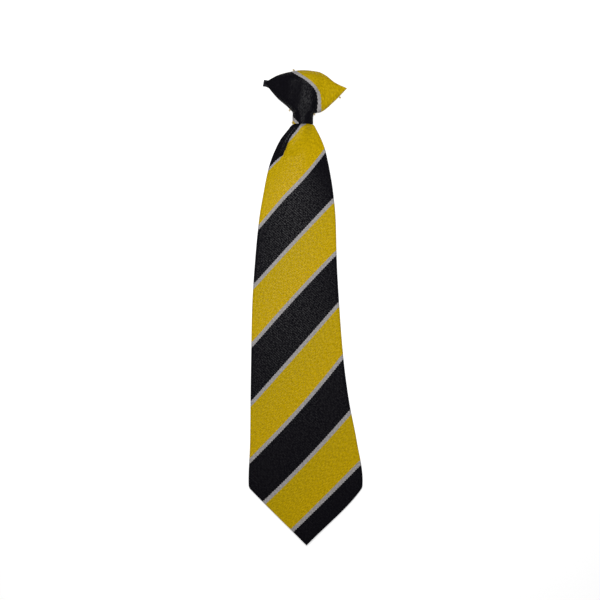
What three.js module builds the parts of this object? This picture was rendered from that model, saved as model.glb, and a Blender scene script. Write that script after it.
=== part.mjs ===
// A ready-tied school tie on an elastic neck band, lying on its back on a flat surface.
// Millimetres. +X is to the right as it is looked down on, +Y runs up the tie to the knot, and
// +Z is its front. The surface that it lies on is z = 0, under the middle of its outline.

import * as THREE from 'three';

// Driving dimensions
const TIE_LENGTH = 350;
const CLOTH = 1.0; // wall of the folded cloth with its interlining
const GAP = 0.3; // clearance where one piece rests on or passes through another
const BACK_SEAM = 0.8; // open line between the two folded edges behind the blade
const ELASTIC_LENGTH = 250;
const ELASTIC_WIDTH = 5;
const ELASTIC_THICKNESS = 1;
const ELASTIC_BEND = 12; // radius of the loop at its far end
const ELASTIC_PITCH = 6; // between the middles of its two runs behind the neck

// Heights that follow
const OVER_ELASTIC = ELASTIC_THICKNESS + GAP;
const TOP_Y = TIE_LENGTH / 2;
const TIP_Y = -TIE_LENGTH / 2;
const MOUTH_Y = 135; // lower edge of the knot, out of which the blade comes
const NECK_X = -2.6; // middle of the narrow neck

// The blade, a row for each section: how far up, its left and right fold, how thick it is in the
// middle and at its folded edges, and how far its back lies above the surface.
const BLADE = [
  { y: 149.0, left: -8.2, right: 3.2, middle: 3.3, edge: 3.1, lift: 2.6 },
  { y: 134.75, left: -8.2, right: 3.2, middle: 3.3, edge: 3.1, lift: 2.6 },
  { y: 134.2, left: -10.2, right: 5.5, middle: 5.6, edge: 4.8, lift: 1.3 },
  { y: 131.0, left: -13.2, right: 7.7, middle: 6.4, edge: 5.0, lift: 1.3 },
  { y: 123.2, left: -19.2, right: 11.6, middle: 6.8, edge: 4.8, lift: 1.3 },
  { y: 115.8, left: -22.9, right: 13.8, middle: 6.9, edge: 4.5, lift: 1.3 },
  { y: 108.4, left: -25.9, right: 16.0, middle: 6.7, edge: 4.3, lift: 1.3 },
  { y: 101.0, left: -28.1, right: 17.5, middle: 6.2, edge: 4.0, lift: 1.3 },
  { y: 86.2, left: -31.1, right: 19.9, middle: 5.4, edge: 3.7, lift: 1.3 },
  { y: 64.0, left: -34.8, right: 22.0, middle: 4.8, edge: 3.4, lift: 1.3 },
  { y: 34.4, left: -37.7, right: 22.8, middle: 4.4, edge: 3.2, lift: 0.7 },
  { y: -2.6, left: -40.0, right: 24.9, middle: 4.1, edge: 3.1, lift: 0.0 },
  { y: -39.6, left: -40.7, right: 27.9, middle: 3.9, edge: 3.0, lift: 0.0 },
  { y: -69.2, left: -41.1, right: 31.8, middle: 3.7, edge: 3.0, lift: 0.0 },
  { y: -98.8, left: -41.4, right: 37.5, middle: 3.6, edge: 3.0, lift: 0.0 },
  { y: -129.0, left: -42.4, right: 41.9, middle: 3.5, edge: 3.0, lift: 0.0 },
  { y: -131.8, left: -42.0, right: 42.4, middle: 3.5, edge: 3.0, lift: 0.0 },
];
const TIP_ROWS = 9;
const TIP_BOW = 1.5; // how far the point's edges bow out
const TIP_WALL = 2 * CLOTH; // cloth between the hollow's end and the tip
const TIP_KEEP = 40; // the higher, the closer to the tip it keeps its thickness

// The pleat at the left under the knot: its folded edge, from its end up to the knot
const PLEAT = [
  { y: 110.0, x: -17.6 },
  { y: 124.7, x: -11.8 },
  { y: 134.2, x: -5.6 },
  { y: 136.0, x: -4.5 },
  { y: 149.0, x: -4.5 },
];
const PLEAT_DEPTH = 4.5; // cloth tucked under its edge at the knot
const PLEAT_TURN = CLOTH * 0.62; // radius of its two turns, to the middle of the cloth
const PLEAT_CLOSED = 0.45; // share of its length over which it folds flat

// The knot's two sides, from its mouth up the neck and out along the wings' lower edges
const KNOT_SIDES = [
  { up: 0.0, leftX: -9.7, leftY: 135.0, rightX: 4.9, rightY: 135.0 },
  { up: 0.12, leftX: -9.8, leftY: 139.5, rightX: 4.8, rightY: 139.5 },
  { up: 0.22, leftX: -9.6, leftY: 143.2, rightX: 5.6, rightY: 142.6 },
  { up: 0.3, leftX: -11.6, leftY: 145.6, rightX: 10.4, rightY: 143.6 },
  { up: 0.65, leftX: -21.4, leftY: 154.4, rightX: 21.0, rightY: 151.9 },
  { up: 1.0, leftX: -30.3, leftY: 165.8, rightX: 29.8, rightY: 161.6 },
];
// Its top edge from the left wing's tip over the dome to the right wing's
const KNOT_TOP = [
  { across: 0.0, x: -30.3, y: 165.8 },
  { across: 0.17, x: -20.0, y: 171.6 },
  { across: 0.33, x: -11.1, y: 173.9 },
  { across: 0.45, x: -3.0, y: TOP_Y },
  { across: 0.63, x: 8.9, y: 173.8 },
  { across: 0.73, x: 14.8, y: 171.0 },
  { across: 0.84, x: 21.5, y: 165.8 },
  { across: 1.0, x: 29.8, y: 161.6 },
];
const KNOT_HEIGHT = 32; // from the mouth to the top edge, as a mean of its middle and its wings
const KNOT_BACK = 1.7; // depth of the knot behind its side folds
const WING_FRONT = 1.5; // height of a wing's front over its side folds, at the tip
const DOME_FRONT = 6.9; // and of the knot's middle
const DOME_REACH = 15; // how far the dome runs out into the wings
const SIDE_ROUND = 3.6; // radius in plan of the folds at the sides
const TOP_ROUND = 4.5; // and of the fold along the top
// The drape down the knot's front: its two edges, and how far it stands over the wings
const DRAPE = [
  { y: 135.0, left: -12.0, right: 7.0, high: 0.0 },
  { y: 141.0, left: -12.0, right: 7.0, high: 0.3 },
  { y: 146.0, left: -9.0, right: 5.6, high: 1.2 },
  { y: 151.0, left: -6.5, right: 6.2, high: 1.2 },
  { y: 158.0, left: -3.0, right: 8.0, high: 0.7 },
  { y: 164.0, left: -2.0, right: 6.0, high: 0.0 },
];
const DRAPE_SOFT = 2.5; // width of the slope at each of its edges

const BLACK = new THREE.Color('#1f1e23');
const YELLOW = new THREE.Color('#b6961e');

function clamp01(value) {
  return Math.min(1, Math.max(0, value));
}

function ease(value) {
  const t = clamp01(value);
  return t * t * (3 - 2 * t);
}

// Reads a table's column between its rows; smooth keeps the slope from jumping at a row.
function read(table, key, at, column, smooth = false) {
  const rising = table[0][key] < table[table.length - 1][key];
  const rows = rising ? table : [...table].reverse();
  const last = rows.length - 1;
  if (at <= rows[0][key]) return rows[0][column];
  if (at >= rows[last][key]) return rows[last][column];
  let i = 0;
  while (rows[i + 1][key] < at) i += 1;
  const slope = (k) => (rows[k + 1][column] - rows[k][column]) / (rows[k + 1][key] - rows[k][key]);
  const span = rows[i + 1][key] - rows[i][key];
  const t = (at - rows[i][key]) / span;
  const here = slope(i);
  if (!smooth) return rows[i][column] + here * span * t;
  // A monotone cubic: the slope at a row is the harmonic mean of its neighbours', or 0 at a turn.
  const mean = (a, b) => (a * b > 0 ? (2 * a * b) / (a + b) : 0);
  const start = i > 0 ? mean(slope(i - 1), here) : here;
  const end = i + 1 < last ? mean(here, slope(i + 1)) : here;
  const t2 = t * t;
  const t3 = t2 * t;
  return (2 * t3 - 3 * t2 + 1) * rows[i][column] + (t3 - 2 * t2 + t) * span * start
    + (3 * t2 - 2 * t3) * rows[i + 1][column] + (t3 - t2) * span * end;
}

// One closed body from an outer and an inner skin, each an array of rows of points. A row runs
// round the section: openLoop leaves a slit between its ends. The last row is drawn together to
// a point or a line, and the first is an open mouth, whose edge joins the two skins.
function shell(outer, inner, openLoop) {
  const positions = [];
  const quad = (a, b, c, d) => {
    for (const p of [a, c, b, a, d, c]) positions.push(p.x, p.y, p.z);
  };
  const rows = outer.length;
  const columns = outer[0].length;
  const strips = openLoop ? columns - 1 : columns;
  for (let i = 0; i < rows - 1; i += 1) {
    for (let j = 0; j < strips; j += 1) {
      const k = (j + 1) % columns;
      quad(outer[i][j], outer[i][k], outer[i + 1][k], outer[i + 1][j]);
      quad(inner[i][k], inner[i][j], inner[i + 1][j], inner[i + 1][k]);
    }
    if (openLoop) {
      const end = columns - 1;
      quad(inner[i][0], outer[i][0], outer[i + 1][0], inner[i + 1][0]);
      quad(outer[i][end], inner[i][end], inner[i + 1][end], outer[i + 1][end]);
    }
  }
  for (let j = 0; j < strips; j += 1) {
    const k = (j + 1) % columns;
    quad(inner[0][j], inner[0][k], outer[0][k], outer[0][j]);
  }
  return fromTriangles(positions);
}

// Drops the triangles that a point or a seam has closed up, and gives each face its normal.
function fromTriangles(positions) {
  const kept = [];
  const a = new THREE.Vector3();
  const b = new THREE.Vector3();
  const c = new THREE.Vector3();
  const NEAR = 1e-4;
  for (let i = 0; i < positions.length; i += 9) {
    a.fromArray(positions, i);
    b.fromArray(positions, i + 3);
    c.fromArray(positions, i + 6);
    if (a.distanceTo(b) < NEAR || b.distanceTo(c) < NEAR || c.distanceTo(a) < NEAR) continue;
    kept.push(...a.toArray(), ...b.toArray(), ...c.toArray());
  }
  const geometry = new THREE.BufferGeometry();
  geometry.setAttribute('position', new THREE.Float32BufferAttribute(kept, 3));
  geometry.computeVertexNormals();
  return geometry;
}

// The blade
const BACK_STEPS = 3;
const SIDE_STEPS = 5;
const UNDER_STEPS = 4;
const TURN_STEPS = 3;
const UPPER_STEPS = 7;

// How far the pleat is folded at a height up the blade: 0 at its end, 1 at the knot
function pleatShare(y) {
  return clamp01((y - PLEAT[0].y) / (MOUTH_Y - PLEAT[0].y));
}

// The front of a section as points of x and of height over the blade's lower layer: the layer
// under the pleat, its two turns and the top layer, which settles towards the other fold.
function frontPoints(y, from, to) {
  const share = pleatShare(y);
  const count = UNDER_STEPS + 2 * TURN_STEPS + UPPER_STEPS + 2;
  if (share <= 0) {
    const step = (to - from) / (count - 1);
    return Array.from({ length: count }, (_, i) => ({ x: from + step * i, over: 0 }));
  }
  const angle = Math.PI * ease(share / PLEAT_CLOSED);
  const depth = PLEAT_DEPTH * clamp01((share - PLEAT_CLOSED / 2) / (1 - PLEAT_CLOSED / 2));
  const edge = read(PLEAT, 'y', y, 'x');
  const across = 2 * PLEAT_TURN * Math.sin(angle) + depth * Math.cos(angle);
  const rise = 2 * PLEAT_TURN * (1 - Math.cos(angle)) + depth * Math.sin(angle);
  const start = edge - across;
  const points = [];
  for (let i = 0; i < UNDER_STEPS; i += 1) {
    points.push({ x: from + ((start - from) * i) / UNDER_STEPS, over: 0 });
  }
  for (let i = 0; i <= TURN_STEPS; i += 1) {
    const a = (angle * i) / TURN_STEPS;
    points.push({ x: start + PLEAT_TURN * Math.sin(a), over: PLEAT_TURN * (1 - Math.cos(a)) });
  }
  for (let i = 0; i <= TURN_STEPS; i += 1) {
    const a = angle * (1 - i / TURN_STEPS);
    points.push({ x: edge - PLEAT_TURN * Math.sin(a), over: rise - PLEAT_TURN * (1 - Math.cos(a)) });
  }
  const settled = edge + depth + CLOTH;
  for (let i = 1; i <= UPPER_STEPS; i += 1) {
    const x = edge + ((to - edge) * i) / UPPER_STEPS;
    points.push({ x, over: rise * (1 - ease((x - settled) / (to - settled))) });
  }
  return points;
}

// The middle of the cloth round one section, from the seam behind it to the left, over the front
// and back to the seam, as points of x and z.
function bladeMiddle(y) {
  const left = read(BLADE, 'y', y, 'left', true) + CLOTH / 2;
  const right = read(BLADE, 'y', y, 'right', true) - CLOTH / 2;
  const back = read(BLADE, 'y', y, 'lift', true) + CLOTH / 2;
  const edge = read(BLADE, 'y', y, 'edge', true) - CLOTH;
  const crown = read(BLADE, 'y', y, 'middle', true) - CLOTH - edge;
  const round = Math.min(edge / 2, (right - left) / 4);
  const centre = (left + right) / 2;
  const top = (x) => {
    const off = clamp01(Math.abs(x - centre) / ((right - left) / 2));
    return back + edge + crown * (1 - off * off);
  };
  const front = frontPoints(y, left + round, right - round);
  const first = front[0];
  const last = front[front.length - 1];
  const points = [];
  const flap = (near, far, step) => {
    points.push({ x: near + ((far - near) * step) / BACK_STEPS, z: back });
  };
  const side = (hinge, way, height, step) => {
    const a = (Math.PI * step) / SIDE_STEPS;
    points.push({ x: hinge + way * round * Math.sin(a), z: back + (height / 2) * (1 - Math.cos(a)) });
  };
  for (let i = 0; i < BACK_STEPS; i += 1) flap(centre - BACK_SEAM / 2, left + round, i);
  for (let i = 0; i < SIDE_STEPS; i += 1) side(left + round, -1, top(first.x) - back, i);
  for (const p of front) points.push({ x: p.x, z: top(p.x) + p.over });
  for (let i = SIDE_STEPS - 1; i >= 0; i -= 1) side(right - round, 1, top(last.x) - back, i);
  for (let i = BACK_STEPS - 1; i >= 0; i -= 1) flap(centre + BACK_SEAM / 2, right - round, i);
  return points;
}

// Moves each point of a section to one face of the cloth; side is 1 outside and -1 inside.
function face(middle, side, y) {
  return middle.map((p, i) => {
    const before = middle[Math.max(0, i - 1)];
    const after = middle[Math.min(middle.length - 1, i + 1)];
    const dx = after.x - before.x;
    const dz = after.z - before.z;
    const long = Math.hypot(dx, dz);
    const off = (side * CLOTH) / 2;
    return new THREE.Vector3(p.x - (off * dz) / long, y, p.z + (off * dx) / long);
  });
}

// The pointed end: the section at its start is drawn in towards the tip in rows, and keeps its
// thickness until close to it.
function tipRows(start, tip) {
  const rows = [];
  for (let i = 1; i <= TIP_ROWS; i += 1) {
    const t = Math.sin((Math.PI / 2) * (i / TIP_ROWS));
    const bow = 1 + (TIP_BOW * 4 * t * (1 - t)) / Math.abs(start[0].y - tip.y);
    const thin = Math.sqrt(1 - Math.pow(t, TIP_KEEP));
    rows.push(start.map((p) => new THREE.Vector3(
      tip.x + (p.x - tip.x) * (1 - t) * bow,
      p.y + (tip.y - p.y) * t,
      tip.z + (p.z - tip.z) * thin,
    )));
  }
  return rows;
}

// Heights of the blade's rows, closest where the pleat forms and at the shoulders of its point
const BLADE_HEIGHTS = [149, 142, 136.2, 134.75, 134.2, 132.4, 130, 127, 123.2, 119, 115.8, 113, 110,
  105, 98, 88, 76, 62, 46, 28, 8, -16, -40, -64, -86, -104, -118, -126, -129, -131.8];

function bladeGeometry() {
  const outer = BLADE_HEIGHTS.map((y) => face(bladeMiddle(y), 1, y));
  const inner = BLADE_HEIGHTS.map((y) => face(bladeMiddle(y), -1, y));
  const half = BLADE[BLADE.length - 1].edge / 2;
  outer.push(...tipRows(outer[outer.length - 1], new THREE.Vector3(0, TIP_Y, half)));
  inner.push(...tipRows(inner[inner.length - 1], new THREE.Vector3(0, TIP_Y + TIP_WALL, half)));
  return shell(outer, inner, true);
}

// The knot: a pouch of cloth with two wings, closed along its top and sides, open at its mouth
const KNOT_COLUMNS = 22;
const KNOT_ROWS = 17;

function knotPlan(across, up) {
  const side = (column) => read(KNOT_SIDES, 'up', up, column);
  const left = new THREE.Vector2(side('leftX'), side('leftY'));
  const right = new THREE.Vector2(side('rightX'), side('rightY'));
  const first = KNOT_TOP[0];
  const last = KNOT_TOP[KNOT_TOP.length - 1];
  const pull = up * up;
  const bowX = read(KNOT_TOP, 'across', across, 'x', true) - (first.x + (last.x - first.x) * across);
  const bowY = read(KNOT_TOP, 'across', across, 'y', true) - (first.y + (last.y - first.y) * across);
  const width = left.distanceTo(right);
  const place = left.lerp(right, across);
  return { x: place.x + bowX * pull, y: place.y + bowY * pull, width };
}

// 0 at a folded edge, rising as a quarter circle to 1 at the given distance from it
function roundOff(distance, radius) {
  const t = clamp01(distance / radius);
  return Math.sqrt(t * (2 - t));
}

// Height of the knot's front over its side folds
function knotFront(x, y) {
  const reach = (x - NECK_X) / DOME_REACH;
  const dome = WING_FRONT + (DOME_FRONT - WING_FRONT) * Math.exp(-reach * reach);
  const high = read(DRAPE, 'y', y, 'high', true);
  const fromLeft = ease((x - read(DRAPE, 'y', y, 'left')) / DRAPE_SOFT + 0.5);
  const fromRight = ease((read(DRAPE, 'y', y, 'right') - x) / DRAPE_SOFT + 0.5);
  return dome + high * fromLeft * fromRight;
}

// One skin of the knot, set in from its outer face by the given thickness
function knotSkin(inset) {
  const rows = [];
  const middleZ = OVER_ELASTIC + KNOT_BACK;
  const point = (i, k, front) => {
    const around = 0.5 - 0.5 * Math.cos((Math.PI * i) / KNOT_COLUMNS);
    const rise = Math.sin(((Math.PI / 2) * k) / KNOT_ROWS);
    const up = rise * (1 - inset / KNOT_HEIGHT);
    const margin = inset / knotPlan(0.5, up).width;
    const across = margin + around * (1 - 2 * margin);
    const at = knotPlan(across, up);
    const beside = Math.min(around, 1 - around) * at.width;
    const below = (1 - rise) * KNOT_HEIGHT;
    const round = roundOff(beside, SIDE_ROUND - inset) * roundOff(below, TOP_ROUND - inset);
    const height = front ? knotFront(at.x, at.y) - inset : inset - KNOT_BACK;
    return new THREE.Vector3(at.x, at.y, middleZ + height * round);
  };
  for (let k = 0; k <= KNOT_ROWS; k += 1) {
    const row = [];
    for (let i = 0; i < KNOT_COLUMNS; i += 1) row.push(point(i, k, true));
    for (let i = KNOT_COLUMNS; i > 0; i -= 1) row.push(point(i, k, false));
    rows.push(row);
  }
  return rows;
}

function knotGeometry() {
  const outer = knotSkin(0);
  const inner = knotSkin(CLOTH);
  // Rows run up the knot and down the blade, so the knot's are turned round.
  const turned = (rows) => rows.map((row) => [...row].reverse());
  return shell(turned(outer), turned(inner), false);
}

// The elastic: one flat band from the back of the left wing's tip, down behind the neck and the
// blade, round and up again to the back of the right wing's tip
const ELASTIC_LEFT = [[-31.2, 165.9], [-22.6, 161.0], [-14.4, 154.8], [-8.2, 148.0]];
const ELASTIC_RIGHT = [[3.4, 147.2], [9.6, 153.2], [18.4, 158.2], [24.2, 160.6]];
const ELASTIC_STRAIGHT = [142, 132]; // heights between which its runs lie side by side
const ELASTIC_SPREAD = 26; // length over which they part to the loop's width

function elasticRoute(run) {
  const points = ELASTIC_LEFT.map(([x, y]) => [x, y]);
  const beside = ELASTIC_PITCH / 2;
  const loopY = ELASTIC_STRAIGHT[1] - ELASTIC_SPREAD - run;
  for (const y of ELASTIC_STRAIGHT) points.push([NECK_X - beside, y]);
  points.push([NECK_X - ELASTIC_BEND, ELASTIC_STRAIGHT[1] - ELASTIC_SPREAD]);
  const TURNS = 8;
  for (let i = 0; i <= TURNS; i += 1) {
    const a = Math.PI + (Math.PI * i) / TURNS;
    points.push([NECK_X + ELASTIC_BEND * Math.cos(a), loopY + ELASTIC_BEND * Math.sin(a)]);
  }
  points.push([NECK_X + ELASTIC_BEND, ELASTIC_STRAIGHT[1] - ELASTIC_SPREAD]);
  for (const y of [...ELASTIC_STRAIGHT].reverse()) points.push([NECK_X + beside, y]);
  points.push(...ELASTIC_RIGHT);
  const places = points.map(([x, y]) => new THREE.Vector3(x, y, 0));
  return new THREE.CatmullRomCurve3(places, false, 'centripetal');
}

function elasticGeometry() {
  const TRIAL = 20;
  const run = TRIAL + (ELASTIC_LENGTH - elasticRoute(TRIAL).getLength()) / 2;
  const route = elasticRoute(run);
  const STEPS = 72;
  const soft = 0.25; // the band's worn edges
  const half = ELASTIC_WIDTH / 2;
  const high = ELASTIC_THICKNESS;
  const section = [[-half, soft], [-half + soft, 0], [half - soft, 0], [half, soft],
    [half, high - soft], [half - soft, high], [-half + soft, high], [-half, high - soft]];
  const rings = [];
  for (let i = 0; i <= STEPS; i += 1) {
    const at = route.getPointAt(i / STEPS);
    const along = route.getTangentAt(i / STEPS);
    const place = ([side, z]) => new THREE.Vector3(at.x - along.y * side, at.y + along.x * side, z);
    rings.push(section.map(place));
  }
  const positions = [];
  const triangle = (...corners) => {
    for (const p of corners) positions.push(p.x, p.y, p.z);
  };
  const sides = section.length;
  for (let i = 0; i < STEPS; i += 1) {
    for (let j = 0; j < sides; j += 1) {
      const k = (j + 1) % sides;
      triangle(rings[i][j], rings[i][k], rings[i + 1][k]);
      triangle(rings[i][j], rings[i + 1][k], rings[i + 1][j]);
    }
  }
  for (let j = 1; j < sides - 1; j += 1) {
    triangle(rings[0][0], rings[0][j + 1], rings[0][j]);
    triangle(rings[STEPS][0], rings[STEPS][j], rings[STEPS][j + 1]);
  }
  return fromTriangles(positions);
}

function piece(name, geometry, color, roughness) {
  const material = new THREE.MeshStandardMaterial({ color, roughness, metalness: 0 });
  const mesh = new THREE.Mesh(geometry, material);
  mesh.name = name;
  return mesh;
}

const tie = new THREE.Group();
tie.add(piece('blade', bladeGeometry(), YELLOW, 0.85));
tie.add(piece('knot', knotGeometry(), BLACK, 0.85));
tie.add(piece('neck_elastic', elasticGeometry(), BLACK, 0.9));

export default tie;
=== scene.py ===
# %% [markdown]
# # A ready-tied school tie on an elastic band
#
# The tie lies on its back, seen from straight above. It is three things: the blade, which is a
# flat tube of striped cloth folded round and closed behind, the knot, which is a pouch of the
# same cloth with two wings, and a flat black elastic that is tucked away behind them.
#
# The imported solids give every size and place. This lesson remakes each piece at the fineness of
# the cloth, on the same few sizes, and then gives it a woven finish.

import bmesh
import bpy
import numpy as np
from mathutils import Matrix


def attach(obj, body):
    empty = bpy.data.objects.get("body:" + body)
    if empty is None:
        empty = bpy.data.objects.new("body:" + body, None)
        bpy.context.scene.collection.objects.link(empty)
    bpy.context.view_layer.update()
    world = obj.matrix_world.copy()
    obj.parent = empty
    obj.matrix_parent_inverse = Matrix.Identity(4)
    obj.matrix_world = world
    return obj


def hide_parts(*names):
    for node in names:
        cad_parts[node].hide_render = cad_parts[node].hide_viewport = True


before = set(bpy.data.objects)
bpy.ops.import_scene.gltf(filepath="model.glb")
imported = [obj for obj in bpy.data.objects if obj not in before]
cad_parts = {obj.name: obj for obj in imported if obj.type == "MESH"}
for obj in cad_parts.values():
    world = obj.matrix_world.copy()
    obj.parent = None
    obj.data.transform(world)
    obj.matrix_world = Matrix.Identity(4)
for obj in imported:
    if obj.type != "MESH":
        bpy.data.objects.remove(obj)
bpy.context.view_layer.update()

# %% [markdown]
# ## The camera
#
# The picture is a flat product shot, so the camera stands high over the tie with a long lens and
# looks straight down. One pixel of the 600 pixel frame is 0.74 mm, which is what makes a tie of
# 350 mm fill 473 pixels.

# %% Look straight down through a long lens
MM = 0.001
FRAME_PX = 600
MM_A_PIXEL = 0.74
ZERO_PX = (306.0, 306.5)  # the pixel that the middle of the tie's outline falls on
CLOTH_TOP = 4.0  # mm, the height that the scale is true at
CAMERA_HEIGHT = 1800.0  # mm, far enough that the thickness of the tie barely shows


def in_scene(name, data):
    """A new object in the scene, of the mesh, lens or lamp that it is given."""
    obj = bpy.data.objects.new(name, data)
    bpy.context.collection.objects.link(obj)
    return obj


lens = bpy.data.cameras.new("photo_lens")
camera = in_scene("photo_camera", lens)
bpy.context.scene.camera = camera
view_mm = FRAME_PX * MM_A_PIXEL
lens.sensor_width = 36.0
lens.lens = lens.sensor_width * (CAMERA_HEIGHT - CLOTH_TOP) / view_mm
lens.clip_end = 10.0
camera.location = (
    (FRAME_PX / 2 - ZERO_PX[0]) * MM_A_PIXEL * MM,
    (ZERO_PX[1] - FRAME_PX / 2) * MM_A_PIXEL * MM,
    CAMERA_HEIGHT * MM,
)
# The gold is too rich for a filmic curve, so the picture is developed straight.
bpy.context.scene.view_settings.view_transform = "Standard"
print(f"lens {lens.lens:.0f} mm, {view_mm:.0f} mm of the table across the frame")

# %% [markdown]
# ## Reading a table
#
# A tailor's pattern is a few measured widths with a fair curve through them. The tables below are
# that, and Curve draws the fair curve: a cubic between two rows whose slope never overshoots.

# %% Fair curves through the rows of a table
def chart(columns, *rows):
    """A table as a list of its rows, each by the names of the columns."""
    return [dict(zip(columns.split(), row)) for row in rows]


def ease(value):
    t = np.clip(value, 0, 1)
    return t * t * (3 - 2 * t)


def mix(a, b, t):
    return a + (b - a) * t


class Curve:
    """A column of a table as a function of another. Where beyond is true it runs on straight."""

    def __init__(self, table, key, column, beyond=False):
        rows = sorted(table, key=lambda row: row[key])
        self.x = np.array([row[key] for row in rows], float)
        self.y = np.array([row[column] for row in rows], float)
        self.beyond = beyond
        self.slope = np.diff(self.y) / np.diff(self.x)
        before, after = self.slope[:-1], self.slope[1:]
        agree = before * after > 0
        mean = 2 * before * after / np.where(agree, before + after, 1)
        self.tangent = np.concatenate(
            [self.slope[:1], np.where(agree, mean, 0), self.slope[-1:]])

    def __call__(self, at):
        i = np.clip(np.searchsorted(self.x, at) - 1, 0, len(self.slope) - 1)
        span = self.x[i + 1] - self.x[i]
        run = (at - self.x[i]) / span
        t = np.clip(run, 0, 1)
        value = ((2 * t**3 - 3 * t**2 + 1) * self.y[i]
                 + (t**3 - 2 * t**2 + t) * span * self.tangent[i]
                 + (3 * t**2 - 2 * t**3) * self.y[i + 1]
                 + (t**3 - t**2) * span * self.tangent[i + 1])
        return value + (run - t) * span * self.slope[i] if self.beyond else value


def read(table, key, at, columns):
    """What some of a table's columns say at a place."""
    return [Curve(table, key, column)(at) for column in columns.split()]


# %% [markdown]
# ## Turning rows of points into cloth
#
# Cloth has two faces and a cut edge. Each piece is worked out as an outer and an inner skin, rows
# of points that run round the piece, and these helpers join them into one closed mesh. They also
# write a UV map, in which U is the distance across the stripes and V the distance along them, so
# the pattern is printed on the cloth and bends with it.

# %% A closed skin of cloth with its own pattern coordinates
UV_MM = 100.0  # millimetres of cloth to one unit of the UV map
SAME_POINT = 5e-7  # m, points closer than this are one


def closed_mesh(name, verts, faces, pattern):
    """pattern has a place on the cloth, in mm as verts are, for each corner of each face. Closes
    up the rows that were drawn together, and shades the cloth smoothly."""
    mesh = bpy.data.meshes.new(name)
    mesh.from_pydata((verts.reshape(-1, 3) * MM).tolist(), [], faces)
    layer = mesh.uv_layers.new(name="cloth")
    layer.data.foreach_set("uv", (np.array(pattern) / UV_MM).ravel())
    bm = bmesh.new()
    bm.from_mesh(mesh)
    bmesh.ops.remove_doubles(bm, verts=bm.verts, dist=SAME_POINT)
    bmesh.ops.dissolve_degenerate(bm, edges=bm.edges, dist=SAME_POINT)
    bmesh.ops.recalc_face_normals(bm, faces=bm.faces)
    for face in bm.faces:
        face.smooth = True
    volume = bm.calc_volume(signed=True) / MM**3
    print(f"{name}: {len(bm.faces)} faces round {volume:.0f} cubic mm")
    bm.to_mesh(mesh)
    bm.free()
    return in_scene(name, mesh)


def cloth_mesh(name, outer, inner, pattern, slit):
    """outer and inner are rows of (x, y, z) and pattern rows of (u, v), all in mm. slit leaves
    the line open between the last column and the first, and else pattern has a column more."""
    rows, columns = outer.shape[:2]
    faces, corners = [], []

    def quad(*places):
        faces.append([(skin * rows + i) * columns + j % columns for skin, i, j in places])
        corners.extend(pattern[i, j] for _, i, j in places)

    strips = columns - 1 if slit else columns
    for i in range(rows - 1):
        for j in range(strips):
            quad((0, i, j), (0, i + 1, j), (0, i + 1, j + 1), (0, i, j + 1))
            quad((1, i, j), (1, i, j + 1), (1, i + 1, j + 1), (1, i + 1, j))
        if slit:
            last = columns - 1
            quad((0, i, 0), (1, i, 0), (1, i + 1, 0), (0, i + 1, 0))
            quad((1, i, last), (0, i, last), (0, i + 1, last), (1, i + 1, last))
    for j in range(strips):
        quad((0, 0, j), (0, 0, j + 1), (1, 0, j + 1), (1, 0, j))
    return closed_mesh(name, np.concatenate([outer, inner]), faces, corners)


def unit(arrows):
    """The arrows of the last axis, each made 1 long."""
    return arrows / np.linalg.norm(arrows, axis=-1, keepdims=True)


def skins(middle, thick):
    """The two faces of a cloth whose middle is given as rows of (x, z): each point moves out
    along the line square to its own section."""
    ahead = np.empty_like(middle)
    ahead[:, 1:-1] = middle[:, 2:] - middle[:, :-2]
    ahead[:, 0] = middle[:, 1] - middle[:, 0]
    ahead[:, -1] = middle[:, -1] - middle[:, -2]
    ahead = unit(ahead)
    out = np.stack([-ahead[:, :, 1], ahead[:, :, 0]], axis=2) * thick / 2
    return middle + out, middle - out


# %% [markdown]
# ## The stripes
#
# The cloth is a regimental stripe: charcoal and gold of the same width, with a narrow silver line
# between them. It is cut on the bias, so the stripes cross the blade at about 45 degrees, and the
# gathers under the knot and the widening blade bend them a little. Each row of the table is one
# silver line, and says how far up the tie it is at five distances from the middle. Between two
# lines the cloth is all charcoal or all gold, by turns, so a place on the cloth is a line's number
# and a fraction.

# %% The silver lines on the blade and on the knot
HALF_PERIOD = 27.6  # mm from one silver line to the next, square to them
SILVER_HALF = 0.047  # half the silver line's width, as a share of a half period
BLADE_LINES = chart(
    "line -36 -18 0 18 36",
    (-1, 138, 150, 166, 184, 203),
    (1, 57.3, 78.6, 97.6, 121, 146),
    (2, 17.7, 37.6, 57.0, 76.1, 95),
    (3, -23.8, -3.3, 16.4, 35.4, 53.8),
    (4, -66.9, -46.6, -26.1, -5.4, 15.7),
    (5, -108.7, -90.2, -70.3, -48.7, -25.5),
    (6, -150.0, -132.9, -114.6, -95.2, -74.7),
    (7, -191.5, -173.2, -155.7, -138.1, -120.0),
    (8, -233, -214, -197, -180, -162),
)
BLADE_SLANT = np.radians(48.9)  # of the stripes, over the level
# Line 0 meets the pleat: it comes up from the left to the pleat's end, is hidden in the fold, and
# comes out on the upper layer, close along the folded edge.
PLEAT_LINE = chart(
    "x y thin",
    (-36.0, 93.0, 0.5),
    (-26.6, 102.2, 0.5),
    (-22.1, 106.9, 0.5),
    (-19.2, 109.6, 0.5),
    (-18.6, 111.4, 0.5),
    (-18.3, 115.0, 0.4),
    (-16.5, 118.8, 0.35),
    (-12.9, 121.7, 0.5),
    (-10.4, 124.7, 0.6),
    (-5.6, 130.6, 0.8),
    (-3.7, 133.6, 0.9),
    (-1.9, 135.1, 1.0),
    (2.5, 138.5, 1.0),
    (18.0, 158.0, 1.0),
    (36.0, 178.0, 1.0),
)
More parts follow.
